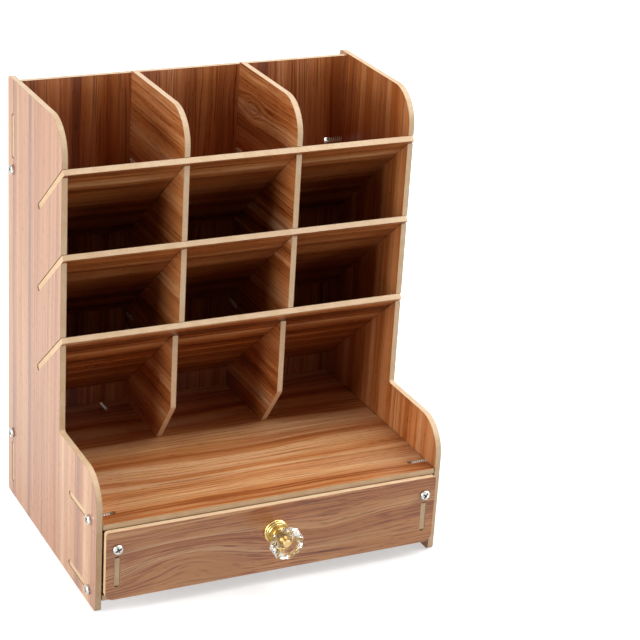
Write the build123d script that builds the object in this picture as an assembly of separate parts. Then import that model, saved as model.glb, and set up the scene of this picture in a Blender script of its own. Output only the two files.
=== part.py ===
"""Flat-pack desk organizer of thin boards: three columns of sloping compartments, a desktop and a drawer.

Millimetres. X runs to the right, Y to the rear and Z up. The boards are laid out with Y = 0 at the
front edges of the side panels, and every piece is moved at the end so that the origin lies at the
middle of the whole organizer's base, on the surface that it stands on.
"""

import os
from collections import namedtuple
from math import atan, cos, degrees, radians, sin, tan

from build123d import *

os.makedirs("parts", exist_ok=True)

# ---- Boards ----
board = 4.0  # thickness of every board
corner_radius = 3.0  # small rounding of exposed board corners

# ---- Case ----
case_width = 250.0  # over the outer faces of the side panels
case_depth = 183.0  # side panels, front to rear
case_height = 310.0
step_depth = 73.4  # how far the desktop part stands ahead of the tower
step_height = 96.5  # side panels' height beside the desktop
nose_radius = 24.0  # rounded front corner of the tower and of the step
step_corner_radius = 2.0  # inside corner where the tower rises from the step
back_inset = 8.0  # rear face of the back panel in from the side panels' rear edges
back_panel_rise = 2.0  # lower edge of the back panel above the floor
back_panel_drop = 1.4  # its upper edge below the top of the case
bottom_rise = 8.0  # underside of the bottom board above the floor
drawer_bay_height = 48.0  # between the bottom board and the desktop board

# ---- Shelves ----
shelf_count = 3
top_shelf_drop = 30.0  # top shelf's front edge below the top of the case
desk_opening = 100.4  # lowest shelf's front edge above the desktop
shelf_rear_rise = 18.6  # lowest shelf's rear edge above the desktop
lap_length = 62.0  # slots in the side panels and dividers, along the slope
shelf_end_inset = 0.6  # shelf ends in from the outer faces of the side panels

# ---- Dividers ----
divider_spacing = 80.0  # centre to centre
divider_setback = 10.0  # lower front edge behind the upper one
divider_chamfer_depth = 23.5
divider_chamfer_height = 32.5

# ---- Tabs, slots and fits ----
tab_length = 29.2
front_tab_setback = 22.3  # side tabs of the desktop and bottom boards behind their front edges
rear_tab_inset = 23.2  # their rear tabs in from the side panels
upper_tab_drop = 25.2  # upper tabs of the back panel and dividers below the top of the case
lower_tab_rise = 11.2  # lower tabs of the back panel above the floor
divider_tab_rise = 29.2  # lower tabs of the dividers above the desktop
fit_gap = 0.25  # play on each side of a board in its slot
slot_end_gap = 1.3  # play at each end of a tab, whose square corners just clear the slot's round end
slot_end_flat = 0.05  # half of the flat left between the two roundings at a slot's end
tab_end_inset = 0.4  # tab ends in from the face of the board that they go through
board_gap = 0.3  # play between a board's free edge and its neighbour
level_board_gap = 0.6  # desktop and bottom boards to each side panel

# ---- Screws ----
screw_length = 16.0  # under the head
screw_diameter = 3.5
screw_taper = 4.0  # length of the pointed end
screw_point_diameter = 0.6
head_diameter = 7.0
head_height = 2.3
head_rounding = 1.1
recess_width = 1.1
recess_length = 4.2
recess_depth = 1.4
hole_play = 0.15  # around a screw in the board that it passes through
groove_play = 0.05  # on each side of a screw in the edge that it is driven into
tab_to_screw = 8.9  # from a tab's end to the screw beside it
groove_end_gap = 2.0  # groove beyond the screw's point

# ---- Drawer ----
drawer_end_gap = 1.0  # drawer front and back to the side panels
drawer_front_height = 50.0
drawer_front_rise = 2.0  # drawer front's lower edge above the bottom board's underside
drawer_front_top_radius = 2.0
drawer_front_bottom_radius = 5.5
drawer_standoff = 0.6  # from the shut drawer's front to the edges behind it
running_gap = 0.3  # under the drawer
drawer_side_inset = 5.9  # outer faces of the drawer sides in from the ends of its front
drawer_headroom = 4.7  # drawer box below the desktop board
drawer_rear_gap = 4.0  # behind the shut drawer's back
drawer_tab_rise = 7.8
drawer_tab_length = 20.5
drawer_tab_to_screw = 6.7
drawer_bottom_rise = 3.0  # drawer bottom above the lower edges of its sides
drawer_bottom_tab_margin = 30.0  # its tabs in from the ends of the drawer sides

# ---- Knob ----
knob_height = 29.9  # axis above the drawer front's lower edge
flange_diameter = 17.2
flange_thickness = 1.8
collar_diameter = 14.8
collar_thickness = 2.2
neck_diameter = 8.0
neck_distance = 7.0  # neck's narrowest place from the drawer front
cup_diameter = 11.5
cup_distance = 10.0  # rim of the cup from the drawer front
cup_rim = 1.0
crystal_sides = 8
crystal_diameter = 24.4  # across the corners of its widest part
crystal_back_diameter = 10.5
crystal_face_diameter = 13.8
crystal_turn = 10.0  # degrees, as the knob happens to be screwed on
crystal_pavilion = 7.9  # back facets, along the axis
crystal_girdle = 1.6
crystal_crown = 2.2  # front facets, along the axis
knob_screw_diameter = 4.0
knob_screw_length = 10.0
knob_screw_head_diameter = 8.0
knob_screw_head_height = 2.4
knob_screw_head_rounding = 1.0

# ---- Places worked out from those sizes ----
outer_half_width = case_width / 2
inner_half_width = outer_half_width - board
back_face = case_depth - back_inset - board  # front face of the back panel
back_rear = back_face + board
bottom_top = bottom_rise + board
desktop_under = bottom_top + drawer_bay_height
desktop_top = desktop_under + board

shelf_run = back_face - board_gap - step_depth
shelf_slope = degrees(atan((desk_opening - shelf_rear_rise) / shelf_run))
shelf_length = shelf_run / cos(radians(shelf_slope))
top_shelf_front = case_height - top_shelf_drop
low_shelf_front = desktop_top + desk_opening
shelf_pitch = (top_shelf_front - low_shelf_front) / (shelf_count - 1)
shelf_fronts = [top_shelf_front - shelf_pitch * row for row in range(shelf_count)]
shelf_names = ["top_shelf", "middle_shelf", "lower_shelf"]

divider_centres = {"left_divider": -divider_spacing / 2, "right_divider": divider_spacing / 2}

slot_width = board + 2 * fit_gap
slot_rounding = slot_width / 2 - slot_end_flat
groove_length = screw_length - board + groove_end_gap
groove_half_width = screw_diameter / 2 + groove_play
through = 2 * board  # how far a cutter reaches to each side of a board's face

drawer_half_width = inner_half_width - drawer_end_gap
drawer_base = bottom_top + running_gap
drawer_box_top = desktop_under - drawer_headroom
drawer_front_back = -drawer_standoff  # rear face of the drawer front, shut
drawer_front_face = drawer_front_back - board
drawer_front_base = bottom_rise + drawer_front_rise
drawer_front_top = drawer_front_base + drawer_front_height
drawer_back_front = back_face - drawer_rear_gap - board
drawer_back_rear = drawer_back_front + board
drawer_side_outer = drawer_half_width - drawer_side_inset
drawer_side_inner = drawer_side_outer - board
drawer_side_centre = (drawer_side_outer + drawer_side_inner) / 2
knob_z = drawer_front_base + knob_height
crystal_back = cup_distance - cup_rim
knob_projection = crystal_back + crystal_pavilion + crystal_girdle + crystal_crown

whole_front = drawer_front_face - knob_projection
centre_y = (whole_front + case_depth) / 2

# ---- Edge joints: a tab and the screw beside it, as distances along the joined edge ----
EdgeJoint = namedtuple("EdgeJoint", "start end middle screw")


def edge_joint(start, length, screw_distance):
    """A tab, and its screw past the tab's end, or ahead of its start where the distance is negative."""
    end = start + length
    screw = end + screw_distance if screw_distance > 0 else start + screw_distance
    return EdgeJoint(start, end, (start + end) / 2, screw)


front_joint = edge_joint(front_tab_setback, tab_length, -tab_to_screw)
rear_joint = edge_joint(inner_half_width - rear_tab_inset - tab_length, tab_length, -tab_to_screw)
upper_joint = edge_joint(case_height - upper_tab_drop - tab_length, tab_length, -tab_to_screw)
lower_joint = edge_joint(lower_tab_rise, tab_length, tab_to_screw)
divider_joint = edge_joint(desktop_top + divider_tab_rise, tab_length, tab_to_screw)
drawer_joint = edge_joint(drawer_base + drawer_tab_rise, drawer_tab_length, drawer_tab_to_screw)


# ---- Shapes shared by several pieces ----
def block(corner, opposite):
    """A box between two opposite corners."""
    size = [abs(b - a) for a, b in zip(corner, opposite)]
    middle = [(a + b) / 2 for a, b in zip(corner, opposite)]
    return Pos(*middle) * Box(*size)


def plate(face, points, radii):
    """A board with the given outline, one board's thickness along the face's normal."""
    outline = face * make_face(FilletPolyline(*points, radius=radii, close=True))
    return extrude(outline, amount=board, dir=face.z_dir)


def upright_face(y, facing):
    """A plane across the organizer, facing to the front (-1) or the rear (+1), with its Y axis upwards."""
    return Plane(origin=(0, y, 0), x_dir=(-facing, 0, 0), z_dir=(0, facing, 0))


def tab_slot(face, centre, length, turned=False):
    """A cutter for one tab's slot. The tab lies along the face's Y axis, or along its X axis if turned."""
    outline = RectangleRounded(slot_width, length + 2 * slot_end_gap, slot_rounding)
    turn = Rot(0, 0, 90) if turned else Rot(0, 0, 0)
    return extrude(face * Pos(*centre) * turn * outline, amount=through, both=True)


def screw_hole(face, centre, diameter=screw_diameter):
    outline = Circle(diameter / 2 + hole_play)
    return extrude(face * Pos(*centre) * outline, amount=through, both=True)


def screw(place, diameter, length, taper, head, rounding):
    """A screw whose head's seat is the place, with the head along its normal. head is (diameter, height)."""
    head_width, height = head
    straight = length - taper
    body = Pos(0, 0, -straight / 2) * Cylinder(diameter / 2, straight)
    if taper:
        body += Pos(0, 0, -length + taper / 2) * Cone(screw_point_diameter / 2, diameter / 2, taper)
    cap = Pos(0, 0, height / 2) * Cylinder(head_width / 2, height)
    body += fillet(cap.edges().group_by(Axis.Z)[-1], rounding)
    recess = Pos(0, 0, height - recess_depth / 2)
    body -= recess * Box(recess_length, recess_width, recess_depth)
    body -= recess * Box(recess_width, recess_length, recess_depth)
    return place * body


def board_screws(seats, normal):
    """The self-tapping screws at the given seats, with their heads towards the normal."""
    head = (head_diameter, head_height)
    places = [Plane(origin=seat, z_dir=normal) for seat in seats]
    return [screw(place, screw_diameter, screw_length, screw_taper, head, head_rounding) for place in places]


# ---- Side panels ----
def shelf_plane(front_height):
    """The upper face of a shelf: X across, Y down the slope to the rear, origin at its front edge."""
    normal = (0, sin(radians(shelf_slope)), cos(radians(shelf_slope)))
    return Plane(origin=(0, step_depth, front_height), x_dir=(1, 0, 0), z_dir=normal)


def shelf_slot(front_height, middle_x):
    """A cutter for the slot, open to the front, that one shelf slides into."""
    length = through + lap_length
    middle = (middle_x, lap_length - length / 2, -board / 2)
    cutter = Pos(*middle) * Box(2 * through, length, slot_width)
    inner_end = cutter.edges().filter_by(Axis.X).group_by(Axis.Y)[-1]
    return shelf_plane(front_height) * fillet(inner_end, slot_rounding)


def side_panel(sign):
    """One side panel. sign is -1 on the left and +1 on the right."""
    points = [
        (0, 0),
        (case_depth, 0),
        (case_depth, case_height),
        (step_depth, case_height),
        (step_depth, step_height),
        (0, step_height),
    ]
    radii = [corner_radius, corner_radius, corner_radius, nose_radius, step_corner_radius, nose_radius]
    centre_x = sign * (outer_half_width - board / 2)
    face = Plane.YZ.offset(centre_x - board / 2)
    panel = plate(face, points, radii)
    for front_height in shelf_fronts:
        panel -= shelf_slot(front_height, centre_x)
    for height in (bottom_rise + board / 2, desktop_under + board / 2):
        panel -= tab_slot(face, (front_joint.middle, height), tab_length, turned=True)
        panel -= screw_hole(face, (front_joint.screw, height))
    depth = back_face + board / 2
    for joint in (upper_joint, lower_joint):
        panel -= tab_slot(face, (depth, joint.middle), tab_length)
        panel -= screw_hole(face, (depth, joint.screw))
    return panel


def side_screws(sign):
    """The four screws through one side panel."""
    x = sign * outer_half_width
    seats = [(x, front_joint.screw, under + board / 2) for under in (bottom_rise, desktop_under)]
    seats += [(x, back_face + board / 2, joint.screw) for joint in (upper_joint, lower_joint)]
    return board_screws(seats, (sign, 0, 0))


# ---- Boards between the side panels ----
def level_board(underside):
    """The desktop or bottom board, with tabs at its sides and rear and a groove for each screw."""
    top = underside + board
    half_width = inner_half_width - level_board_gap
    panel = block((-half_width, 0, underside), (half_width, back_face, top))
    near_screw = front_joint.screw - groove_half_width
    far_screw = front_joint.screw + groove_half_width
    groove_x = inner_half_width - groove_length
    for sign in (-1, 1):
        tab_end = sign * (outer_half_width - tab_end_inset)
        panel += block((sign * half_width, front_joint.start, underside), (tab_end, front_joint.end, top))
        panel -= block((sign * groove_x, near_screw, underside), (tab_end, far_screw, top))
        panel += block(
            (sign * rear_joint.start, back_face, underside),
            (sign * rear_joint.end, back_rear - tab_end_inset, top),
        )
        panel -= block(
            (sign * rear_joint.screw - groove_half_width, back_face - groove_length, underside),
            (sign * rear_joint.screw + groove_half_width, back_face, top),
        )
    return panel


def back_panel():
    """The back panel, with tabs and screw grooves at both sides and slots for the boards ahead of it."""
    panel = block(
        (-inner_half_width, back_face, back_panel_rise),
        (inner_half_width, back_rear, case_height - back_panel_drop),
    )
    groove_x = inner_half_width - groove_length
    face = upright_face(back_rear, -1)
    for sign in (-1, 1):
        edge = sign * inner_half_width
        tab_end = sign * (outer_half_width - tab_end_inset)
        for joint in (upper_joint, lower_joint):
            panel += block((edge, back_face, joint.start), (tab_end, back_rear, joint.end))
            panel -= block(
                (edge, back_face, joint.screw - groove_half_width),
                (sign * groove_x, back_rear, joint.screw + groove_half_width),
            )
        for height in (bottom_rise + board / 2, desktop_under + board / 2):
            panel -= tab_slot(face, (sign * rear_joint.middle, height), tab_length, turned=True)
            panel -= screw_hole(face, (sign * rear_joint.screw, height))
    for centre in divider_centres.values():
        for joint in (upper_joint, divider_joint):
            panel -= tab_slot(face, (centre, joint.middle), tab_length)
            panel -= screw_hole(face, (centre, joint.screw))
    return panel


def back_screws():
    """The screws through the back panel into the level boards and the dividers."""
    seats = []
    for height in (bottom_rise + board / 2, desktop_under + board / 2):
        seats += [(sign * rear_joint.screw, back_rear, height) for sign in (-1, 1)]
    for centre in divider_centres.values():
        seats += [(centre, back_rear, joint.screw) for joint in (upper_joint, divider_joint)]
    return board_screws(seats, (0, 1, 0))


# ---- Shelves and dividers, lapped into each other ----
def shelf(front_height):
    """A sloping shelf: full width ahead of the end of its laps, between the side panels behind it."""
    front_half = outer_half_width - shelf_end_inset
    rear_half = inner_half_width - board_gap
    wing = lap_length - slot_end_gap
    panel = block((-front_half, 0, -board), (front_half, wing, 0))
    panel += block((-rear_half, wing, -board), (rear_half, shelf_length, 0))
    for centre in divider_centres.values():
        near = centre - slot_width / 2
        far = centre + slot_width / 2
        panel -= block((near, wing, -board), (far, shelf_length, 0))
    return shelf_plane(front_height) * panel


def divider(centre):
    """A divider: the tower's profile above the lowest shelf, set back and bevelled below it."""
    slope = tan(radians(shelf_slope))
    low_front = step_depth + divider_setback
    upper_end = low_shelf_front - board / 2 / cos(radians(shelf_slope))
    points = [
        (back_face, desktop_top),
        (back_face, case_height),
        (step_depth, case_height),
        (step_depth, upper_end),
        (low_front, upper_end - divider_setback * slope),
        (low_front, desktop_top + divider_chamfer_height),
        (low_front + divider_chamfer_depth, desktop_top),
    ]
    radii = [0, 0, nose_radius, 0, 0, corner_radius, 0]
    low_x = centre - board / 2
    high_x = centre + board / 2
    panel = plate(Plane.YZ.offset(low_x), points, radii)
    for front_height in shelf_fronts:
        panel -= shelf_slot(front_height, centre)
    for joint in (upper_joint, divider_joint):
        tab_end = back_rear - tab_end_inset
        panel += block((low_x, back_face, joint.start), (high_x, tab_end, joint.end))
        panel -= block(
            (low_x, back_face - groove_length, joint.screw - groove_half_width),
            (high_x, back_face, joint.screw + groove_half_width),
        )
    return panel


# ---- Drawer ----
def drawer_end(rear_y, base, top, low_radius, high_radius):
    """The drawer's front or back board, with a slot and a screw hole for each drawer side."""
    face = upright_face(rear_y, -1)
    points = [
        (-drawer_half_width, base),
        (drawer_half_width, base),
        (drawer_half_width, top),
        (-drawer_half_width, top),
    ]
    panel = plate(face, points, [low_radius, low_radius, high_radius, high_radius])
    for sign in (-1, 1):
        x = sign * drawer_side_centre
        panel -= tab_slot(face, (x, drawer_joint.middle), drawer_tab_length)
        panel -= screw_hole(face, (x, drawer_joint.screw))
    return panel


def drawer_front():
    radii = (drawer_front_bottom_radius, drawer_front_top_radius)
    panel = drawer_end(drawer_front_back, drawer_front_base, drawer_front_top, *radii)
    return panel - screw_hole(upright_face(drawer_front_back, -1), (0, knob_z), knob_screw_diameter)


def bottom_tabs():
    """The two stretches along Y where the drawer bottom's tabs go through each drawer side."""
    first = drawer_front_back + drawer_bottom_tab_margin
    last = drawer_back_front - drawer_bottom_tab_margin
    return [(first, first + tab_length), (last - tab_length, last)]


def drawer_side(sign):
    """One side of the drawer, with a tab and a screw groove at both ends."""
    inner = sign * drawer_side_inner
    outer = sign * drawer_side_outer
    panel = block((inner, drawer_front_back, drawer_base), (outer, drawer_back_front, drawer_box_top))
    tab_ends = [
        (drawer_front_face + tab_end_inset, drawer_front_back),
        (drawer_back_front, drawer_back_rear - tab_end_inset),
    ]
    for near, far in tab_ends:
        panel += block((inner, near, drawer_joint.start), (outer, far, drawer_joint.end))
    groove_ends = [
        (drawer_front_back, drawer_front_back + groove_length),
        (drawer_back_front - groove_length, drawer_back_front),
    ]
    for near, far in groove_ends:
        panel -= block(
            (inner, near, drawer_joint.screw - groove_half_width),
            (outer, far, drawer_joint.screw + groove_half_width),
        )
    face = Plane.YZ.offset(sign * drawer_side_centre)
    height = drawer_base + drawer_bottom_rise + board / 2
    for near, far in bottom_tabs():
        panel -= tab_slot(face, ((near + far) / 2, height), tab_length, turned=True)
    return panel


def drawer_bottom():
    low = drawer_base + drawer_bottom_rise
    top = low + board
    panel = block((-drawer_side_inner, drawer_front_back, low), (drawer_side_inner, drawer_back_front, top))
    for near, far in bottom_tabs():
        tab_end = drawer_side_outer - tab_end_inset
        panel += block((-tab_end, near, low), (tab_end, far, top))
    return panel


def drawer_screws(seat_y, facing):
    """The two screws through the drawer's front or back board."""
    seats = [(sign * drawer_side_centre, seat_y, drawer_joint.screw) for sign in (-1, 1)]
    return board_screws(seats, (0, facing, 0))


# ---- Knob, built along its own axis and then turned to face the front ----
knob_place = Plane(origin=(0, drawer_front_face, knob_z), x_dir=(1, 0, 0), z_dir=(0, -1, 0))


def knob_base():
    """A turned base: flange, collar, waisted neck and a cup for the crystal, bored for its screw."""
    points = [
        (0, 0),
        (flange_diameter / 2, 0),
        (flange_diameter / 2, flange_thickness),
        (collar_diameter / 2, flange_thickness),
        (collar_diameter / 2, flange_thickness + collar_thickness),
        (neck_diameter / 2, neck_distance),
        (cup_diameter / 2, crystal_back),
        (cup_diameter / 2, cup_distance),
        (crystal_back_diameter / 2, cup_distance),
        (crystal_back_diameter / 2, crystal_back),
        (0, crystal_back),
    ]
    body = revolve(Plane.XZ * make_face(Polyline(*points, close=True)), Axis.Z)
    thread = knob_screw_length - board
    bore = Pos(0, 0, thread / 2) * Cylinder(knob_screw_diameter / 2 + groove_play, thread)
    return knob_place * (body - bore)


def knob_crystal():
    """A cut crystal: a round stub in the cup, facets out to the girdle and in again to its flat face."""
    girdle_start = crystal_back + crystal_pavilion
    girdle_end = girdle_start + crystal_girdle
    sections = [
        (crystal_back_diameter, cup_distance),
        (crystal_diameter, girdle_start),
        (crystal_diameter, girdle_end),
        (crystal_face_diameter, knob_projection),
    ]
    half_side = radians(180 / crystal_sides)
    stub = Cylinder(crystal_back_diameter / 2 * cos(half_side) - fit_gap, cup_rim)
    crystal = Pos(0, 0, (crystal_back + cup_distance) / 2) * stub
    for (near_width, near_end), (far_width, far_end) in zip(sections, sections[1:]):
        near = Pos(0, 0, near_end) * RegularPolygon(near_width / 2, crystal_sides)
        far = Pos(0, 0, far_end) * RegularPolygon(far_width / 2, crystal_sides)
        crystal += loft([near, far], ruled=True)
    return knob_place * Rot(0, 0, crystal_turn) * crystal


def knob_screw():
    """The machine screw from inside the drawer into the knob's base."""
    seat = Plane(origin=(0, drawer_front_back, knob_z), z_dir=(0, 1, 0))
    head = (knob_screw_head_diameter, knob_screw_head_height)
    return screw(seat, knob_screw_diameter, knob_screw_length, 0, head, knob_screw_head_rounding)


# ---- All pieces ----
drawer_back_radii = (corner_radius, corner_radius)
pieces = {
    "left_side_panel": side_panel(-1),
    "right_side_panel": side_panel(1),
    "back_panel": back_panel(),
    "desktop_board": level_board(desktop_under),
    "bottom_board": level_board(bottom_rise),
    "left_side_screws": side_screws(-1),
    "right_side_screws": side_screws(1),
    "back_panel_screws": back_screws(),
    "drawer_front": drawer_front(),
    "drawer_back": drawer_end(drawer_back_rear, drawer_base, drawer_box_top, *drawer_back_radii),
    "drawer_left_side": drawer_side(-1),
    "drawer_right_side": drawer_side(1),
    "drawer_bottom": drawer_bottom(),
    "drawer_front_screws": drawer_screws(drawer_front_face, -1),
    "drawer_back_screws": drawer_screws(drawer_back_rear, 1),
    "knob_base": knob_base(),
    "knob_crystal": knob_crystal(),
    "knob_screw": knob_screw(),
}
for name, front_height in zip(shelf_names, shelf_fronts):
    pieces[name] = shelf(front_height)
for name, centre in divider_centres.items():
    pieces[name] = divider(centre)

to_frame = Pos(0, -centre_y, 0)
for name, piece in pieces.items():
    if isinstance(piece, list):
        placed = Compound(children=[to_frame * solid for solid in piece])
    else:
        placed = to_frame * piece
    export_step(placed, f"parts/{name}.step")
    print("wrote", name)
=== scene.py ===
import math

import bmesh
import bpy
from mathutils import Matrix, Vector


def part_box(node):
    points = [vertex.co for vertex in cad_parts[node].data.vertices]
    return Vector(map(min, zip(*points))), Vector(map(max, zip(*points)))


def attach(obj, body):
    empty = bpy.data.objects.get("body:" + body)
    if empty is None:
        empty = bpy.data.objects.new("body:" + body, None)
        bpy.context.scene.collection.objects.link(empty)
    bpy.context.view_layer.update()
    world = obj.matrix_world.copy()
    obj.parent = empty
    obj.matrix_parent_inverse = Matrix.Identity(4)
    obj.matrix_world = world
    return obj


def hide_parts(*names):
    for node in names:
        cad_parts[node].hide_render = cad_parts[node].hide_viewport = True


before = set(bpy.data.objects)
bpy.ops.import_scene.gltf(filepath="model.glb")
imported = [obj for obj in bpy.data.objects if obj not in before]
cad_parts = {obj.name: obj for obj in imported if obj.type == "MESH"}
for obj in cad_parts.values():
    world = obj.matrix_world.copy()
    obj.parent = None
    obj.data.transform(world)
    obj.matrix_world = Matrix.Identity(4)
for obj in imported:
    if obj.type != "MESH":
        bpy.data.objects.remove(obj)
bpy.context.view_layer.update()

mm = 0.001


# small helpers for node trees

def newMaterial(name):
    material = bpy.data.materials.new(name)
    material.use_nodes = True
    material.node_tree.nodes.clear()
    return material, material.node_tree


def setInput(tree, node, key, value):
    # a socket is linked, and anything else is set as the input's own value
    if isinstance(value, bpy.types.NodeSocket):
        tree.links.new(value, node.inputs[key])
    else:
        node.inputs[key].default_value = value


def addNode(tree, kind, inputs=None, **settings):
    node = tree.nodes.new("ShaderNode" + kind)
    for key, value in settings.items():
        setattr(node, key, value)
    for key, value in (inputs or {}).items():
        setInput(tree, node, key, value)
    return node


def mathNode(tree, operation, a, b=0.0, c=0.0):
    return addNode(tree, "Math", {0: a, 1: b, 2: c}, operation=operation).outputs[0]


def times(tree, a, b):
    return mathNode(tree, "MULTIPLY", a, b)


def total(tree, *values):
    result = values[0]
    for value in values[1:]:
        result = mathNode(tree, "ADD", result, value)
    return result


def dotProduct(tree, a, b):
    return addNode(tree, "VectorMath", {0: a, 1: b}, operation="DOT_PRODUCT").outputs["Value"]


def combined(tree, x, y, z=0.0):
    return addNode(tree, "CombineXYZ", {"X": x, "Y": y, "Z": z}).outputs[0]


def noiseAt(tree, place, scale, detail=2.0, roughness=0.5):
    # noise over a place, from about 0.2 to 0.8
    return addNode(
        tree, "TexNoise", {"Vector": place, "Scale": scale, "Detail": detail, "Roughness": roughness}
    ).outputs["Fac"]


def noiseAlong(tree, distance, scale, detail=2.0):
    # noise over one distance alone, for bands
    return addNode(
        tree, "TexNoise", {"W": distance, "Scale": scale, "Detail": detail}, noise_dimensions="1D"
    ).outputs["Fac"]


def centred(tree, value, reach):
    # noise about zero, times its reach
    return times(tree, mathNode(tree, "SUBTRACT", value, 0.5), reach)


def ramp(tree, value, low, high, fromZero=0.0, toOne=1.0):
    # smooth step from one level to another
    return addNode(
        tree,
        "MapRange",
        {"Value": value, "From Min": low, "From Max": high, "To Min": fromZero, "To Max": toOne},
        interpolation_type="SMOOTHSTEP",
    ).outputs["Result"]


def blendColours(tree, share, first, second, blend="MIX"):
    # the Mix node has several sockets of each name, so its colour ones go by number
    node = addNode(tree, "Mix", data_type="RGBA", blend_type=blend)
    for key, value in ((0, share), (6, first), (7, second)):
        setInput(tree, node, key, value)
    return node.outputs[2]


def objectPlace(tree):
    return addNode(tree, "TexCoord").outputs["Object"]


def colour(red, green, blue):
    return (red, green, blue, 1.0)


# walnut laminate: its colours, and its figure in layers of noise drawn out along the grain

walnut = {
    "stops": [                             # from the darkest rings to the lightest wood
        (0.02, colour(0.110, 0.024, 0.005)),
        (0.27, colour(0.245, 0.061, 0.011)),
        (0.52, colour(0.400, 0.124, 0.029)),
        (0.80, colour(0.545, 0.232, 0.080)),
        (1.0, colour(0.665, 0.372, 0.172)),
    ],
    "line": colour(0.50, 0.36, 0.28),      # multiplies the colour along a dark hairline
    "dash": colour(0.60, 0.41, 0.33),      # along short reddish dashes, and in the rings of a knot
    "pore": colour(0.70, 0.60, 0.52),      # in the open pores
    "cloud": colour(1.0, 1.07, 1.25),      # and in slow greyer clouds
    "paintedSheen": colour(0.60, 0.49, 0.40),      # mixed in as a painted sheen, paler and greyer, where light glances off a board
    "roughness": 0.24,
    "roughnessReach": 0.12,                # added on the raised fibres
    "refraction": 1.62,
    "reliefStrength": 0.12,
    "reliefHeight": 0.1 * mm,
    "facing": (0.90, 0.96),                # a surface this square to the board's normal is printed
}

figure = {
    "middle": 0.62,                        # where between the darkest and lightest colours a board lies
    "faceStep": 37.0,                      # takes the two faces of a board to other noise
    "seedStep": 53.0,                      # and the rings of each board
    "layerStep": 91.0,                     # and each layer
    "rippleShare": 0.22,                   # of the wander, in shorter waves
    "unevenScale": 0.05,                   # 1/mm
    "unevenReach": 5.0,                    # in rings
    "ringRise": (0.20, 0.85),              # share of a ring over which it darkens
    "ringEnd": (0.86, 1.0, 1.0, 0.0),      # and turns light again, at its sharp edge
    "ringStrength": (0.1, 1.0, 0.1, 1.0),  # from one ring to the next, by chance
    "ringDepth": -0.34,
    "broadScale": 0.06,                    # of slow light and dark bands
    "broadReach": 1.05,
    "parallelScale": 0.42,                 # of thin lines side by side
    "parallelReach": 0.50,
    "streakReach": 0.50,
    "fibreReach": 0.20,
}

# scale across and along the grain in 1/mm, detail and roughness
figureLayers = {
    "wander": (0.012, 0.0048, 1.0, 0.5),
    "ripple": (0.055, 0.017, 1.0, 0.5),
    "ringPatches": (0.03, 0.006, 1.0, 0.5),
    "parallelPatches": (0.05, 0.012, 1.0, 0.5),
    "streaks": (0.24, 0.006, 3.0, 0.6),
    "fibres": (1.6, 0.035, 2.0, 0.6),
    "clouds": (0.06, 0.004, 1.0, 0.5),
    "hairlines": (0.95, 0.012, 1.0, 0.5),
    "dashes": (1.25, 0.040, 1.0, 0.5),
    "dashPatches": (0.045, 0.02, 1.0, 0.5),
    "pores": (1.9, 0.13, 0.0, 0.5),
}

# two levels of a layer's noise, and its strength at each of them
layerStrengths = {
    "ringPatches": (0.3, 0.6, 0.35, 1.0),
    "parallelPatches": (0.3, 0.65, 0.25, 1.0),
    "clouds": (0.42, 0.62, 0.0, 1.0),
    "hairlines": (0.54, 0.66, 0.0, 1.0),
    "dashes": (0.53, 0.64, 0.0, 1.0),
    "dashPatches": (0.36, 0.54, 0.0, 1.0),
    "pores": (0.69, 0.82, 0.0, 0.35),
}

figureInputs = [
    "across", "along", "face",
    "seed", "wander", "ringWidth", "tone", "contrast", "fine", "line", "dash",
]


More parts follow.
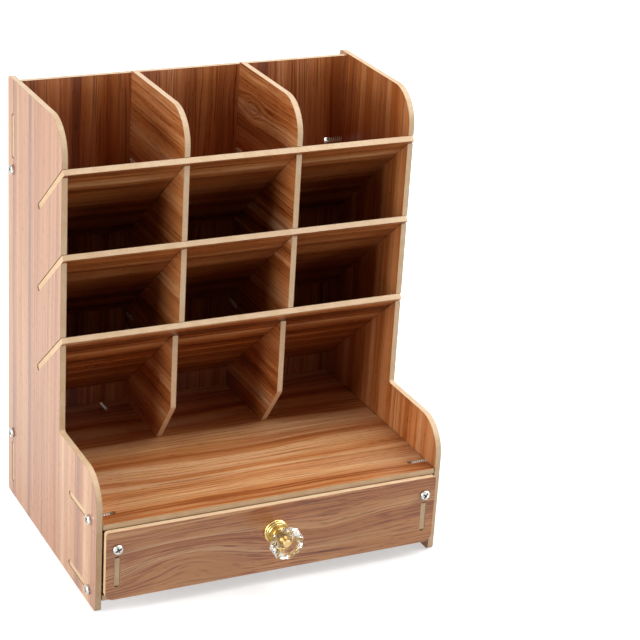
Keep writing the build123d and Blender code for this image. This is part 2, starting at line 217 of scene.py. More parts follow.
def makeFigureGroup():
    # the printed figure, from millimetres across and along the grain:
    # slow wander bends the rings, each ring darkens towards its sharp edge,
    # and thin parallel lines, streaks, hairlines, dashes, fibres and pores run along them
    tree = bpy.data.node_groups.new("walnutFigure", "ShaderNodeTree")
    for name in figureInputs:
        tree.interface.new_socket(name, in_out="INPUT", socket_type="NodeSocketFloat")
    tree.interface.new_socket("colour", in_out="OUTPUT", socket_type="NodeSocketColor")
    tree.interface.new_socket("relief", in_out="OUTPUT", socket_type="NodeSocketFloat")
    given = tree.nodes.new("NodeGroupInput").outputs
    across, along = given["across"], given["along"]
    depth = mathNode(tree, "MULTIPLY_ADD", given["face"], figure["faceStep"], given["seed"])

    def layer(name, sideways):
        acrossScale, alongScale, detail, roughness = figureLayers[name]
        place = combined(
            tree,
            times(tree, sideways, acrossScale),
            times(tree, along, alongScale),
            mathNode(tree, "ADD", depth, acrossScale * figure["layerStep"]),
        )
        return noiseAt(tree, place, 1.0, detail, roughness)

    def strength(name, sideways):
        return ramp(tree, layer(name, sideways), *layerStrengths[name])

    wander = centred(tree, layer("wander", across), given["wander"])
    rippleReach = times(tree, given["wander"], figure["rippleShare"])
    ripple = centred(tree, layer("ripple", across), rippleReach)
    flow = total(tree, across, wander, ripple)                       # follows the bent grain
    seeded = total(tree, flow, times(tree, depth, figure["seedStep"]))

    uneven = centred(tree, noiseAlong(tree, seeded, figure["unevenScale"]), figure["unevenReach"])
    phase = total(tree, mathNode(tree, "DIVIDE", seeded, given["ringWidth"]), uneven)
    share = mathNode(tree, "FRACT", phase)
    ringNumber = mathNode(tree, "FLOOR", phase)
    chance = addNode(tree, "TexWhiteNoise", {"W": ringNumber}, noise_dimensions="1D").outputs["Value"]
    rings = times(tree, ramp(tree, share, *figure["ringRise"]), ramp(tree, share, *figure["ringEnd"]))
    rings = times(tree, rings, ramp(tree, chance, *figure["ringStrength"]))
    rings = times(tree, rings, strength("ringPatches", flow))
    broad = centred(tree, noiseAlong(tree, seeded, figure["broadScale"], 3.0), figure["broadReach"])
    parallelReach = times(tree, given["fine"], figure["parallelReach"])
    parallel = centred(tree, noiseAlong(tree, seeded, figure["parallelScale"], 3.0), parallelReach)
    parallel = times(tree, parallel, strength("parallelPatches", flow))
    streaks = centred(tree, layer("streaks", flow), figure["streakReach"])
    drawn = total(tree, broad, parallel, streaks, times(tree, rings, figure["ringDepth"]))
    fibres = layer("fibres", flow)
    tone = total(
        tree,
        mathNode(tree, "ADD", given["tone"], figure["middle"]),
        times(tree, drawn, given["contrast"]),
        centred(tree, fibres, figure["fibreReach"]),
    )

    colours = addNode(tree, "ValToRGB", {"Fac": tone})
    stops = colours.color_ramp.elements
    stops[0].position, stops[0].color = walnut["stops"][0]
    stops[1].position, stops[1].color = walnut["stops"][-1]
    for position, tint in walnut["stops"][1:-1]:
        stops.new(position).color = tint

    pores = strength("pores", flow)
    dashes = times(tree, strength("dashes", flow), strength("dashPatches", flow))
    printed = colours.outputs["Color"]
    for amount, name in (
        (strength("clouds", flow), "cloud"),
        (times(tree, strength("hairlines", flow), given["line"]), "line"),
        (times(tree, dashes, given["dash"]), "dash"),
        (pores, "pore"),
    ):
        printed = blendColours(tree, amount, printed, walnut[name], "MULTIPLY")
    result = tree.nodes.new("NodeGroupOutput")
    tree.links.new(printed, result.inputs["colour"])
    tree.links.new(mathNode(tree, "SUBTRACT", fibres, pores), result.inputs["relief"])
    return tree


# fibreboard where the edges are cut, with a thin darker line of paper and glue at each face

fibreboard = {
    "light": colour(0.74, 0.53, 0.335),
    "dark": colour(0.58, 0.40, 0.235),
    "fleckScale": 2.6,                     # 1/mm
    "flecks": (0.34, 0.62),
    "cloud": colour(0.92, 0.88, 0.80),
    "cloudScale": 0.09,
    "clouds": (0.35, 0.7),
    "film": colour(0.36, 0.20, 0.10),
    "filmDepth": 0.20,                     # mm
    "filmFade": 1.6,                       # times its depth, where it ends
    "filmShare": 0.65,
    "roughness": 0.60,
}


def cutEdge(tree, across, along, depth, fromFace):
    core = combined(tree, across, along, depth)
    flecks = noiseAt(tree, core, fibreboard["fleckScale"], 3.0, 0.6)
    clouds = ramp(tree, noiseAt(tree, core, fibreboard["cloudScale"]), *fibreboard["clouds"])
    film = fibreboard["filmDepth"]
    filmShare = ramp(tree, fromFace, film, film * fibreboard["filmFade"], fibreboard["filmShare"], 0.0)
    edge = ramp(tree, flecks, *fibreboard["flecks"])
    edge = blendColours(tree, edge, fibreboard["dark"], fibreboard["light"])
    edge = blendColours(tree, clouds, edge, fibreboard["cloud"], "MULTIPLY")
    return blendColours(tree, filmShare, edge, fibreboard["film"]), flecks


# each board: which way its grain runs and which piece of the figure it shows
# wander bends the grain, in mm, and tone lightens it
# contrast, fine, line and dash set how strong its rings, parallel lines, hairlines and dashes are
# a swirl is (along, across, reach along, reach across, lift) in mm, and bends the grain round one place
# a knot is (along, across, reach along, reach across) in mm, with closed rings in it

# the pale, grey mix is a painted sheen, as a share of the board's colour
straight = {
    "grain": (0, 0, 1),
    "wander": 9.0,
    "ringWidth": 6.5,
    "tone": 0.0,
    "contrast": 1.0,
    "fine": 0.5,
    "line": 0.5,
    "dash": 0.25,
    "paintedSheen": 0.0,
    "swirls": [],
    "knots": [],
}
boards = {
    "left_side_panel": {
        "seed": 3.1, "wander": 7.0, "ringWidth": 9.0, "tone": 0.10, "contrast": 1.15,
        "fine": 1.0, "line": 0.35, "dash": 0.0, "paintedSheen": 0.18,
    },
    "right_side_panel": {"seed": 11.4, "ringWidth": 8.0, "tone": 0.04},
    "back_panel": {
        "seed": 21.7, "wander": 18.0, "ringWidth": 14.0, "tone": -0.02, "contrast": 1.25,
        "fine": 0.6, "line": 0.9,
    },
    "top_shelf": {"grain": (1, 0, 0), "seed": 31.2, "tone": -0.06, "contrast": 1.4},
    "middle_shelf": {"grain": (1, 0, 0), "seed": 37.9, "tone": -0.10, "contrast": 1.4},
    "lower_shelf": {"grain": (1, 0, 0), "seed": 43.3, "tone": -0.08, "contrast": 1.4},
    "left_divider": {
        "grain": (0, 1, 0), "seed": 51.6, "wander": 12.0, "tone": 0.06, "contrast": 1.2,
        "line": 0.9, "dash": 0.5,
    },
    "right_divider": {
        "grain": (0, 1, 0), "seed": 58.2, "wander": 8.0, "ringWidth": 5.0, "tone": 0.04, "contrast": 1.2,
        "fine": 1.0, "line": 0.8, "dash": 0.9, "knots": [(67.0, 284.0, 15.0, 7.5)],
    },
    "desktop_board": {
        "grain": (1, 0, 0), "seed": 64.5, "wander": 18.0, "ringWidth": 10.0, "tone": 0.24,
        "fine": 1.3, "line": 0.8,
    },
    "bottom_board": {"grain": (1, 0, 0), "seed": 71.8},
    "drawer_front": {
        "grain": (1, 0, 0), "seed": 83.6, "wander": 14.0, "ringWidth": 7.0, "tone": 0.14, "contrast": 0.9,
        "fine": 1.0, "line": 0.8, "dash": 1.0,
        "swirls": [(-62.0, 32.0, 50.0, 15.0, -13.0), (36.0, 34.0, 30.0, 12.0, 6.0)],
    },
    "drawer_back": {"grain": (1, 0, 0), "seed": 91.1},
    "drawer_left_side": {"grain": (0, 1, 0), "seed": 97.7},
    "drawer_right_side": {"grain": (0, 1, 0), "seed": 103.4},
    "drawer_bottom": {"grain": (1, 0, 0), "seed": 109.9},
}
knotLook = {
    # distances are shares of the knot's reach
    "unevenScale": 1.6,
    "unevenReach": 0.5,
    "push": (0.2, 1.8, 0.85, 0.0),         # of the grain, to both sides
    "ringCount": 3.4,                      # within its reach
    "ringShade": (0.45, 0.95),
    "fade": (0.75, 1.15, 0.9, 0.0),
}


def partWay(tree, value, place, reach):
    # distance from a place, as a share of a reach
    return mathNode(tree, "DIVIDE", mathNode(tree, "SUBTRACT", value, place), reach)


def bentAcross(tree, across, along, swirls):
    # grain bent round each swirl, in closed rings where its lift is more than its reach across
    result = across
    for placeAlong, placeAcross, reachAlong, reachAcross, lift in swirls:
        place = combined(
            tree,
            partWay(tree, along, placeAlong, reachAlong),
            partWay(tree, across, placeAcross, reachAcross),
        )
        squares = dotProduct(tree, place, place)
        swell = mathNode(tree, "EXPONENT", times(tree, squares, -1.0))
        result = total(tree, result, times(tree, swell, lift))
    return result


def knottedAcross(tree, across, along, knots):
    # grain pushed out to both sides of each knot, and the shading of the rings in it
    result, shading = across, None
    for placeAlong, placeAcross, reachAlong, reachAcross in knots:
        place = combined(
            tree,
            partWay(tree, along, placeAlong, reachAlong),
            partWay(tree, across, placeAcross, reachAcross),
        )
        uneven = centred(tree, noiseAt(tree, place, knotLook["unevenScale"]), knotLook["unevenReach"])
        away = mathNode(tree, "SQRT", dotProduct(tree, place, place))
        away = mathNode(tree, "ADD", away, uneven)
        push = ramp(tree, away, *knotLook["push"])
        sideways = mathNode(tree, "SUBTRACT", across, placeAcross)
        result = mathNode(tree, "SUBTRACT", result, times(tree, sideways, push))
        rings = mathNode(tree, "FRACT", times(tree, away, knotLook["ringCount"]))
        rings = ramp(tree, rings, *knotLook["ringShade"])
        rings = times(tree, rings, ramp(tree, away, *knotLook["fade"]))
        shading = rings if shading is None else mathNode(tree, "MAXIMUM", shading, rings)
    return result, shading


def boardNormal(mesh):
    # the direction that most of the board's surface faces
    areas = {}
    for polygon in mesh.polygons:
        direction = polygon.normal if sum(polygon.normal) > 0 else -polygon.normal
        key = tuple(round(part, 3) + 0.0 for part in direction)
        areas[key] = areas.get(key, 0) + polygon.area
    return Vector(max(areas, key=areas.get)).normalized()


def boardMaterial(name, look, mesh, figureGroup):
    material, tree = newMaterial(name + "_laminate")
    normal = boardNormal(mesh)
    grain = Vector(look["grain"])
    sideways = normal.cross(grain)
    if sum(sideways) < 0:
        sideways = -sideways
    # millimetres across the grain, along it, and through the board
    place = objectPlace(tree)
    across, along, depth = [dotProduct(tree, place, axis / mm) for axis in (sideways, grain, normal)]
    depths = [normal.dot(vertex.co) / mm for vertex in mesh.vertices]
    fromMiddle = mathNode(tree, "SUBTRACT", depth, (min(depths) + max(depths)) / 2)
    half = (max(depths) - min(depths)) / 2
    fromFace = mathNode(tree, "SUBTRACT", half, mathNode(tree, "ABSOLUTE", fromMiddle))

    pushed, knotRings = knottedAcross(tree, across, along, look["knots"])
    known = {
        **look,
        "across": bentAcross(tree, pushed, along, look["swirls"]),
        "along": along,
        "face": mathNode(tree, "SIGN", fromMiddle),
    }
    drawn = addNode(tree, "Group", {name: known[name] for name in figureInputs}, node_tree=figureGroup)
    # painted sheen: the board's colour mixed towards a pale grey
    printed = blendColours(tree, look["paintedSheen"], drawn.outputs["colour"], walnut["paintedSheen"])
    if knotRings is not None:
        printed = blendColours(tree, knotRings, printed, walnut["dash"], "MULTIPLY")
    edge, flecks = cutEdge(tree, across, along, depth, fromFace)

    # the laminate shows where the surface looks along the board's normal
    facing = dotProduct(tree, addNode(tree, "NewGeometry").outputs["Normal"], normal)
    onFace = ramp(tree, mathNode(tree, "ABSOLUTE", facing), *walnut["facing"])
    relief = drawn.outputs["relief"]
    gloss = mathNode(tree, "MULTIPLY_ADD", relief, walnut["roughnessReach"], walnut["roughness"])
    roughness = addNode(tree, "Mix", {0: onFace, 2: fibreboard["roughness"], 3: gloss}).outputs[0]
    height = addNode(tree, "Mix", {0: onFace, 2: flecks, 3: relief}).outputs[0]
    bump = addNode(
        tree,
        "Bump",
        {"Height": height, "Strength": walnut["reliefStrength"], "Distance": walnut["reliefHeight"]},
    )
    shader = addNode(
        tree,
        "BsdfPrincipled",
        {
            "Base Color": blendColours(tree, onFace, edge, printed),
            "Roughness": roughness,
            "Normal": bump.outputs[0],
            "IOR": walnut["refraction"],
        },
    )
    addNode(tree, "OutputMaterial", {"Surface": shader.outputs[0]})
    return material


figureGroup = makeFigureGroup()
for name, look in boards.items():
    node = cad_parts[name]
    node.data.materials.clear()
    node.data.materials.append(boardMaterial(name, {**straight, **look}, node.data, figureGroup))
print("finished", len(boards), "boards in walnut laminate")


# plain metal and glass

metals = {
    "zinc": {"tint": colour(0.72, 0.71, 0.69), "stain": colour(0.45, 0.44, 0.43), "roughness": 0.19},
    # painted shade: a near-black zinc for the cross recess, the underside of a head's rim and the roots of a
    # thread
    "zincPaintedShade": {"tint": colour(0.09, 0.09, 0.095), "stain": colour(0.18, 0.18, 0.18), "roughness": 0.38},
    "zincThreadPaintedGlint": {
        "tint": colour(0.97, 0.97, 0.96), "stain": colour(0.88, 0.88, 0.87), "roughness": 0.18,
        "metallic": 0.15,                  # whitened and made less metallic than the zinc: painted glints on the thread ridges
    },
    "brass": {"tint": colour(0.91, 0.73, 0.33), "stain": colour(0.76, 0.57, 0.20), "roughness": 0.06},
    # painted shade: a dark brass for the knob's grooves, neck, cup and the side of its stud
    "brassPaintedShade": {"tint": colour(0.42, 0.27, 0.07), "stain": colour(0.25, 0.15, 0.04), "roughness": 0.23},
    "brassSatin": {"tint": colour(0.94, 0.72, 0.36), "stain": colour(0.84, 0.60, 0.24), "roughness": 0.35},
}
metalSurface = {
    "cloudScale": 420.0,                   # 1/m
    "stained": (0.4, 0.75),
    "roughnessReach": 0.14,                # added where it is stained
    "fineScale": 2600.0,
    "reliefStrength": 0.05,
    "reliefHeight": 0.05 * mm,
}
crystalLook = {
    "tint": colour(1.0, 0.935, 0.845),
    "refraction": 1.52,
    "hazeScale": 300.0,                    # 1/m
    "haze": (0.3, 0.8, 0.05, 0.10),        # two levels of noise, and the roughness at each of them
}


def metalMaterial(name):
    look = metals[name]
    material, tree = newMaterial(name)
    place = objectPlace(tree)
    cloud = noiseAt(tree, place, metalSurface["cloudScale"], 3.0)
    height = noiseAt(tree, place, metalSurface["fineScale"])
    bump = addNode(
        tree,
        "Bump",
        {
            "Height": height,
            "Strength": metalSurface["reliefStrength"],
            "Distance": metalSurface["reliefHeight"],
        },
    )
    stained = ramp(tree, cloud, *metalSurface["stained"])
    shader = addNode(
        tree,
        "BsdfPrincipled",
        {
            "Base Color": blendColours(tree, stained, look["tint"], look["stain"]),
            "Metallic": look.get("metallic", 1.0),
            "Roughness": mathNode(
                tree, "MULTIPLY_ADD", cloud, metalSurface["roughnessReach"], look["roughness"]
            ),
            "Normal": bump.outputs[0],
        },
    )
    addNode(tree, "OutputMaterial", {"Surface": shader.outputs[0]})
    return material


def crystalMaterial():
    material, tree = newMaterial("crystal")
    haze = noiseAt(tree, objectPlace(tree), crystalLook["hazeScale"])
    shader = addNode(
        tree,
        "BsdfPrincipled",
        {
            "Base Color": crystalLook["tint"],
            "Roughness": ramp(tree, haze, *crystalLook["haze"]),
            "IOR": crystalLook["refraction"],
            "Transmission Weight": 1.0,
        },
    )
    addNode(tree, "OutputMaterial", {"Surface": shader.outputs[0]})
    return material


screwMetals = [metalMaterial(name) for name in ("zinc", "zincPaintedShade", "zincThreadPaintedGlint")]
knobMetals = [metalMaterial(name) for name in ("brass", "brassPaintedShade", "brassSatin")]
crystal = crystalMaterial()
polished, paintedShade, paintedGlintAndSatin = 0, 1, 2         # places in both lists of metals: polished, painted shade, then the painted glint of the threads and the satin brass of the stud


# small mesh helpers, all in mm

def turnedPiece(mesh, profile, steps):
    # turns a profile of (radius, height) points about the height axis
    angles = [2 * math.pi * step / steps for step in range(steps)]
    rings = []
    for radius, height in profile:
        if radius == 0:
            rings.append([mesh.verts.new((0, 0, height))] * steps)
        else:
            places = [(radius * math.cos(angle), radius * math.sin(angle), height) for angle in angles]
            rings.append([mesh.verts.new(place) for place in places])
    for low, high in zip(rings, rings[1:]):
        for step in range(steps):
            after = (step + 1) % steps
            corners = []
            for corner in (low[step], low[after], high[after], high[step]):
                if corner not in corners:
                    corners.append(corner)
            if len(corners) > 2:
                mesh.faces.new(corners)


def placedMatrix(place, direction):
    # from a piece's own mm, built along z, to its place in the frame
    turn = Vector(direction).to_track_quat("Z", "Y").to_matrix().to_4x4()
    return Matrix.Translation(place) @ turn @ Matrix.Scale(mm, 4)


def finishedMesh(shape, name):
    mesh = bpy.data.meshes.new(name)
    shape.to_mesh(mesh)
    shape.free()
    return mesh


def newPiece(name, mesh, materials, node, body, smooth=None):
    # an object that stands for a node of the frame and moves with a body
    mesh.name = name
    for material in materials:
        mesh.materials.append(material)
    piece = bpy.data.objects.new(name, mesh)
    bpy.context.scene.collection.objects.link(piece)
    if smooth is not None:
        mesh.shade_smooth()
        mesh.set_sharp_from_angle(angle=math.radians(smooth))
    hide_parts(node)
    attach(piece, body)
    return piece


def withoutCutter(body, cutter):
    # one mesh less another
    made = []
    for name, shape in (("cutBody", body), ("cutCutter", cutter)):
        bmesh.ops.recalc_face_normals(shape, faces=shape.faces)
        made.append(bpy.data.objects.new(name, finishedMesh(shape, name)))
        bpy.context.scene.collection.objects.link(made[-1])
    cut = made[0].modifiers.new("cut", "BOOLEAN")
    cut.operation = "DIFFERENCE"
    cut.solver = "EXACT"
    cut.object = made[1]
    evaluated = made[0].evaluated_get(bpy.context.evaluated_depsgraph_get())
    result = bpy.data.meshes.new_from_object(evaluated)
    for thing in made:
        bpy.data.objects.remove(thing)
    return result


# screws: pan heads with a cross recess, and real threads, since the board edges leave them open to view

boardScrew = {
    "headWidth": 7.0,
    "headHeight": 2.3,
    "headSteps": 40,
    "rimShare": 0.12,                # of the head's height, under its rim, painted in shade
    "crossLength": 4.4,
    "crossWidth": 1.15,
    "crossDepth": 1.5,
    "crossTaper": (1.12, 0.62),      # times its length, where it is cut from and at its floor
    "cutAbove": 0.4,                 # height above the head that it is cut from
    "crossMargin": 1.1,              # times its length, that counts as inside it
    "floorMargin": 0.05,
    "underside": 0.1,                # height up to which nothing is inside it
    "length": 16.0,
    "outer": 3.9,
    "headFrom": 0.7,                 # times that, further out than any shank and within any head
    "root": 2.4,
    "neck": 0.9,                     # plain length under the head
    "pitch": 1.6,
    "point": 2.6,                    # length of the tapered end
    "blunt": 0.15,                   # length that the taper stops short by
    "tipShare": 0.2,                 # of the last turn's width
    "steps": 20,
    "firstTurn": 23.0,               # degrees, since the heads stop at any angle
    "nextTurn": 37.0,
}
machineScrew = {
    **boardScrew,
    "headWidth": 8.0,
    "headHeight": 2.4,
    "length": 10.0,
    "outer": 4.0,
    "root": 3.2,
    "pitch": 0.7,
    "point": 0.0,
}
headShape = [
    # share of half the width, and of the height
    (0.0, 0.0), (0.92, 0.0), (1.0, 0.10), (1.0, 0.42), (0.985, 0.58), (0.93, 0.74),
    (0.83, 0.87), (0.68, 0.95), (0.46, 0.985), (0.20, 1.0), (0.0, 1.0),
]
threadShape = [
    # share of the pitch, and of the ridge's height
    (0.0, 0.0), (0.36, 0.0), (0.50, 0.72), (0.60, 1.0), (0.74, 1.0), (0.84, 0.72),
]


def crossCutter(look):
    cross = bmesh.new()
    length, width = look["crossLength"] / 2, look["crossWidth"] / 2
    heights = (look["headHeight"] + look["cutAbove"], look["headHeight"] - look["crossDepth"])
    levels = []
    for height, reach in zip(heights, look["crossTaper"]):
        arm, half = length * reach, width * (0.5 + reach / 2)
        outline = []
        for quarter in range(4):
            turn = Matrix.Rotation(quarter * math.pi / 2, 2)
            outline += [turn @ Vector(corner) for corner in ((arm, -half), (arm, half), (half, half))]
        levels.append([cross.verts.new((corner.x, corner.y, height)) for corner in outline])
    top, bottom = levels
    cross.faces.new(top)
    cross.faces.new(bottom)
    for step in range(len(top)):
        after = (step + 1) % len(top)
        cross.faces.new((top[step], top[after], bottom[after], bottom[step]))
    return cross


def makeHead(look):
    head = bmesh.new()
    profile = [(radius * look["headWidth"] / 2, height * look["headHeight"]) for radius, height in headShape]
    turnedPiece(head, profile, look["headSteps"])
    headMesh = withoutCutter(head, crossCutter(look))
    made = bmesh.new()
    made.from_mesh(headMesh)
    bpy.data.meshes.remove(headMesh)
    # painted shade: the recess and the underside of the rim take the near-black zinc, where shade would fall
    recessReach = look["crossLength"] / 2 * look["crossMargin"]
    recessFloor = look["headHeight"] - look["crossDepth"] + look["floorMargin"]
    for face in made.faces:
        middle = face.calc_center_median()
        inside = middle.xy.length < recessReach and middle.z > look["underside"]
        steep = face.normal.z < 0.5
        rim = middle.z < look["headHeight"] * look["rimShare"]
        inRecess = inside and (steep or middle.z < recessFloor)
        face.material_index = paintedShade if rim or inRecess else polished
    return made


def makeThread(made, look):
    # a ribbon of thread wound around the shank, each row joined to the one a turn further on
    steps, pitch, root = look["steps"], look["pitch"], look["root"] / 2
    ridge = look["outer"] / 2 - root

    def threadPoint(step, along, height):
        depth = min(look["neck"] + pitch * (step / steps + along), look["length"])
        left = look["length"] - depth
        share = min(1.0, (left + look["blunt"]) / look["point"]) if look["point"] else 1.0
        radius = (root + ridge * height * min(1.0, step / steps)) * share
        angle = 2 * math.pi * step / steps
        return made.verts.new((radius * math.cos(angle), radius * math.sin(angle), -depth))

    count = int((look["length"] - look["neck"]) / pitch * steps)
    rows = [[threadPoint(step, along, height) for along, height in threadShape] for step in range(count)]
    collar = [threadPoint(step, -look["neck"] / pitch - step / steps, 0.0) for step in range(steps + 1)]
    for step in range(count - 1):
        here, after = rows[step], rows[step + 1]
        if step < steps:
            made.faces.new((collar[step], collar[step + 1], after[0], here[0]))
        if step + steps + 1 < count:
            here = here + [rows[step + steps][0]]
            after = after + [rows[step + steps + 1][0]]
        for k in range(len(here) - 1):
            face = made.faces.new((here[k], after[k], after[k + 1], here[k + 1]))
            face.material_index = paintedShade if k == 0 else paintedGlintAndSatin         # painted shade between the ridges, and a painted glint on them
    lastTurn = rows[-steps:]
    end = []
    for row in lastTurn:
        corner = row[-1].co.xy * look["tipShare"]
        end.append(made.verts.new((corner.x, corner.y, -look["length"])))
    for step in range(steps - 1):
        here, after = lastTurn[step][-1], lastTurn[step + 1][-1]
        made.faces.new((here, after, end[step + 1], end[step]))
    made.faces.new(end)


def makeScrew(look):
    made = makeHead(look)
    makeThread(made, look)
    bmesh.ops.recalc_face_normals(made, faces=made.faces)
    return finishedMesh(made, "screw")


def solidsIn(mesh):
    # the corners of each separate solid
    shape = bmesh.new()
    shape.from_mesh(mesh)
    bmesh.ops.remove_doubles(shape, verts=shape.verts, dist=0.01 * mm)
    left = set(shape.verts)
    solids = []
    while left:
        corners, queue = [], [left.pop()]
        while queue:
            vertex = queue.pop()
            corners.append(vertex.co.copy())
            near = {edge.other_vert(vertex) for edge in vertex.link_edges} & left
            left -= near
            queue += near
        solids.append(corners)
    shape.free()
    return solids


def screwPlaces(node, look):
    # the seat and the direction of each screw in a node
    places = []
    for corners in solidsIn(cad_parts[node].data):
        lows = [min(corner[k] for corner in corners) for k in range(3)]
        highs = [max(corner[k] for corner in corners) for k in range(3)]
        sizes = [high - low for low, high in zip(lows, highs)]
        axis = sizes.index(max(sizes))
        place = (Vector(lows) + Vector(highs)) / 2
        wide = look["outer"] * look["headFrom"] * mm
        others = [k for k in range(3) if k != axis]
        heads = [p[axis] for p in corners if max(abs(p[k] - place[k]) for k in others) > wide]
        direction = Vector((0, 0, 0))
        direction[axis] = 1.0 if sum(heads) / len(heads) > place[axis] else -1.0
        end = highs[axis] if direction[axis] > 0 else lows[axis]
        place[axis] = end - direction[axis] * look["headHeight"] * mm
        places.append((place, direction))
    places.sort(key=lambda found: [round(part / mm) for part in found[0]])     # the same order each run
    return places


def makeScrews(node, body, look, master):
    shape = bmesh.new()
    for count, (place, direction) in enumerate(screwPlaces(node, look)):
        turned = math.radians(look["firstTurn"] + look["nextTurn"] * count)
        copy = master.copy()
        copy.transform(placedMatrix(place, direction) @ Matrix.Rotation(turned, 4, "Z"))
        shape.from_mesh(copy)
        bpy.data.meshes.remove(copy)
    mesh = finishedMesh(shape, node)
    newPiece(node + "_threaded", mesh, screwMetals, node, body, smooth=32)


boardScrewMesh = makeScrew(boardScrew)
for node, body in (
    ("left_side_screws", "case"),
    ("right_side_screws", "case"),
    ("back_panel_screws", "case"),
    ("drawer_front_screws", "drawer"),
    ("drawer_back_screws", "drawer"),
):
    makeScrews(node, body, boardScrew, boardScrewMesh)
makeScrews("knob_screw", "drawer", machineScrew, makeScrew(machineScrew))
print("finished the screws")


# knob: a turned brass base with beaded rings, and a cut crystal set in its cup

knob = {
    # radius and distance from the drawer front
    "base": [
        (0.0, 0.0), (8.2, 0.0), (8.55, 0.25), (8.6, 0.7), (8.5, 1.15), (8.2, 1.45), (7.7, 1.55),
        (7.3, 1.6), (7.1, 1.8), (7.3, 2.0), (7.8, 2.1), (8.05, 2.5), (8.05, 3.0), (7.8, 3.35),
        (7.2, 3.45), (6.8, 3.5), (6.65, 3.7), (6.8, 3.9), (7.0, 4.1), (6.85, 4.4), (6.4, 4.5),
        (5.8, 4.55), (5.0, 4.9), (4.45, 5.4), (4.1, 6.0), (4.0, 6.7), (4.1, 7.3), (4.45, 7.85),
        (4.95, 8.3), (5.4, 8.6), (5.65, 8.9), (5.75, 9.25), (5.75, 9.75), (5.65, 9.95), (5.4, 10.0),
        (5.22, 9.9), (5.2, 9.0), (5.05, 8.9), (2.75, 8.9), (2.65, 9.0), (2.65, 16.6), (2.4, 16.9),
        (0.0, 16.9),
    ],
    # heights between which its surface is painted darker as shade, and the widest radius: grooves, neck, cup
    # and stud
    "paintedShadeBands": [(1.50, 2.12, 9.0), (3.35, 3.95, 9.0), (4.4, 8.0, 9.0), (8.85, 9.85, 5.3), (8.85, 16.7, 2.8)],
    "studEnd": 16.7,                 # satin above this, seen through the crystal
    "baseSteps": 72,
    "sides": 8,
    "turn": 10.0,                    # degrees, as it happens to be screwed on
    # radius, distance from the drawer front, and turn in half sides
    "crystal": [
        (4.7, 9.02, 0), (4.85, 10.1, 0), (8.6, 13.4, 1), (12.2, 16.9, 0), (12.2, 18.5, 0),
        (9.6, 19.7, 1), (6.0, 20.68, 0),
    ],
    "facetEdge": 0.12 * mm,
}


def knobMesh(shape, name):
    # set on the drawer front, where the solid base stands
    bmesh.ops.recalc_face_normals(shape, faces=shape.faces)
    low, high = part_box("knob_base")
    place = Vector(((low[0] + high[0]) / 2, high[1], (low[2] + high[2]) / 2))
    shape.transform(placedMatrix(place, (0, -1, 0)))
    return finishedMesh(shape, name)


def makeKnobBase():
    shape = bmesh.new()
    turnedPiece(shape, knob["base"], knob["baseSteps"])
    # the grooves, neck, cup and stud take the dark brass as painted shade, and the stud's end the satin
    # brass
    for face in shape.faces:
        middle = face.calc_center_median()
        for low, high, widest in knob["paintedShadeBands"]:
            if low < middle.z < high and middle.xy.length < widest:
                face.material_index = paintedShade
        if middle.z > knob["studEnd"]:
            face.material_index = paintedGlintAndSatin
    mesh = knobMesh(shape, "knob_base")
    newPiece("knob_base_turned", mesh, knobMetals, "knob_base", "drawer", smooth=50)


def makeCrystal():
    # the convex hull of rings of corners gives flat facets between them
    shape = bmesh.new()
    for radius, height, halfTurn in knob["crystal"]:
        for side in range(knob["sides"]):
            angle = math.radians(knob["turn"] + 360 * (side + halfTurn / 2) / knob["sides"])
            shape.verts.new((radius * math.cos(angle), radius * math.sin(angle), height))
    bmesh.ops.convex_hull(shape, input=shape.verts)
    bmesh.ops.dissolve_limit(shape, angle_limit=math.radians(1), verts=shape.verts, edges=shape.edges)
    mesh = knobMesh(shape, "knob_crystal")
    piece = newPiece("knob_crystal_cut", mesh, [crystal], "knob_crystal", "drawer")
    soften = piece.modifiers.new("facetEdges", "BEVEL")
    soften.width = knob["facetEdge"]
    soften.segments = 1


makeKnobBase()
makeCrystal()
print("finished the knob")


# studio: pale floor, white surroundings, soft lights at both sides

studio = {
    "surroundings": 0.02,            # brightness of the white room on the surfaces
    "glossShare": 0.8,               # of the white room, in metal, glass and gloss
    "floorTint": colour(0.50, 0.50, 0.495),
    "floorGrain": colour(0.53, 0.53, 0.525),
    "floorGrainScale": 900.0,        # 1/m
    "floorRoughness": 0.9,
    "floorSize": 6.0,
    "floorDrop": 0.0001,             # just under the object's feet
    "liftNear": 0.52,                # added white under the object, kept low for its shadow
    "liftFar": 1.0,                  # and far from it, where the floor meets the white room
    "liftFrom": (0.10, -0.10, 0.0),  # where the shadow falls
    "liftReach": (0.12, 0.40),       # metres from there
    "lights": {
        "leftLow": {"place": (-1.35, -0.2, 0.35), "size": 0.7, "power": 10.4},
        "leftHigh": {"place": (-1.25, -0.2, 0.75), "size": 0.8, "power": 9.8},
        "rightLow": {"place": (1.2, -0.2, 0.75), "size": 0.8, "power": 14.6},
        "overRight": {"place": (0.55, -0.1, 1.3), "size": 0.8, "power": 11.2},
        "rightFront": {"place": (1.1, -1.0, 0.45), "size": 0.7, "power": 3.6},
        "behind": {"place": (0.3, 1.4, 0.7), "size": 0.9, "power": 6.0},
    },
    "aim": (0.0, 0.0, 0.14),
}
white = colour(1, 1, 1)
black = colour(0, 0, 0)


def whiteForCamera(tree):
    # 1 for rays from the camera, a little less for those that metal and glass send back
    path = addNode(tree, "LightPath").outputs
    sent = mathNode(tree, "MAXIMUM", path["Is Glossy Ray"], path["Is Transmission Ray"])
    return mathNode(tree, "MAXIMUM", path["Is Camera Ray"], times(tree, sent, studio["glossShare"]))


def makeSurroundings():
    world = bpy.data.worlds.new("studio")
    bpy.context.scene.world = world
    world.use_nodes = True
    tree = world.node_tree
    tree.nodes.clear()
    room = addNode(tree, "Background", {"Color": white, "Strength": studio["surroundings"]})
    seen = addNode(tree, "Background", {"Color": white, "Strength": 1.0})
    mixed = addNode(tree, "MixShader", {0: whiteForCamera(tree), 1: room.outputs[0], 2: seen.outputs[0]})
    addNode(tree, "OutputWorld", {"Surface": mixed.outputs[0]})


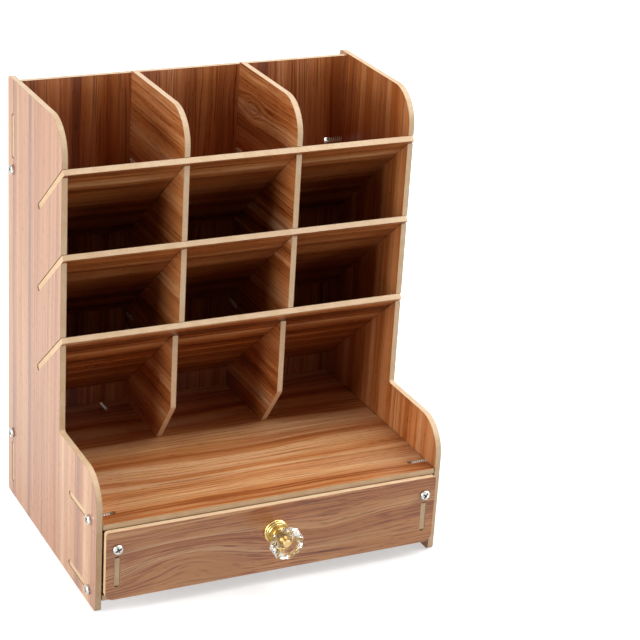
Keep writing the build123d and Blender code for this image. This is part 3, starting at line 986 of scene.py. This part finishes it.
def floorMaterial():
    material, tree = newMaterial("floor")
    place = objectPlace(tree)
    grain = ramp(tree, noiseAt(tree, place, studio["floorGrainScale"]), 0.3, 0.7)
    tint = blendColours(tree, grain, studio["floorTint"], studio["floorGrain"])
    shader = addNode(tree, "BsdfPrincipled", {"Base Color": tint, "Roughness": studio["floorRoughness"]})
    fromShadow = addNode(tree, "VectorMath", {0: place, 1: studio["liftFrom"]}, operation="DISTANCE")
    strength = ramp(
        tree, fromShadow.outputs["Value"], *studio["liftReach"], studio["liftNear"], studio["liftFar"]
    )
    lift = addNode(tree, "Emission", {"Color": white, "Strength": strength})
    none = addNode(tree, "Emission", {"Color": black, "Strength": 0.0})
    added = addNode(tree, "MixShader", {0: whiteForCamera(tree), 1: none.outputs[0], 2: lift.outputs[0]})
    both = addNode(tree, "AddShader", {0: shader.outputs[0], 1: added.outputs[0]})
    addNode(tree, "OutputMaterial", {"Surface": both.outputs[0]})
    return material


def makeFloor():
    size = studio["floorSize"] / 2
    mesh = bpy.data.meshes.new("floor")
    corners = [(-size, -size, 0), (size, -size, 0), (size, size, 0), (-size, size, 0)]
    mesh.from_pydata(corners, [], [(0, 1, 2, 3)])
    mesh.materials.append(floorMaterial())
    floor = bpy.data.objects.new("floor", mesh)
    floor.location.z = -studio["floorDrop"]
    bpy.context.scene.collection.objects.link(floor)


def makeLights():
    for name, look in studio["lights"].items():
        light = bpy.data.lights.new(name, "AREA")
        light.shape = "SQUARE"
        light.size = look["size"]
        light.energy = look["power"]
        lamp = bpy.data.objects.new(name, light)
        lamp.location = look["place"]
        towards = Vector(studio["aim"]) - Vector(look["place"])
        lamp.rotation_euler = towards.to_track_quat("-Z", "Y").to_euler()
        bpy.context.scene.collection.objects.link(lamp)


# camera: a long lens from the front left, a little above the top

cameraView = {
    "lens": 116.786,                 # mm
    "sensor": 36.0,
    "place": (-0.53311, -1.17475, 0.71589),
    "yaw": 26.0517,                  # degrees to the right of straight back
    "pitch": -23.2915,
    "roll": 3.2339,
    "shift": (0.05, 0.0),
    "nearest": 0.01,
}


def makeCamera():
    data = bpy.data.cameras.new("camera")
    data.lens = cameraView["lens"]
    data.sensor_width = cameraView["sensor"]
    data.shift_x, data.shift_y = cameraView["shift"]
    data.clip_start = cameraView["nearest"]
    camera = bpy.data.objects.new("camera", data)
    turn = Matrix.Rotation(math.radians(-cameraView["yaw"]), 4, "Z")
    tilt = Matrix.Rotation(math.radians(90 + cameraView["pitch"]), 4, "X")
    roll = Matrix.Rotation(math.radians(cameraView["roll"]), 4, "Z")
    camera.matrix_world = Matrix.Translation(cameraView["place"]) @ turn @ tilt @ roll
    bpy.context.scene.collection.objects.link(camera)
    bpy.context.scene.camera = camera


makeSurroundings()
makeFloor()
makeLights()
makeCamera()
bpy.context.scene.view_settings.view_transform = "Standard"
print("studio ready")
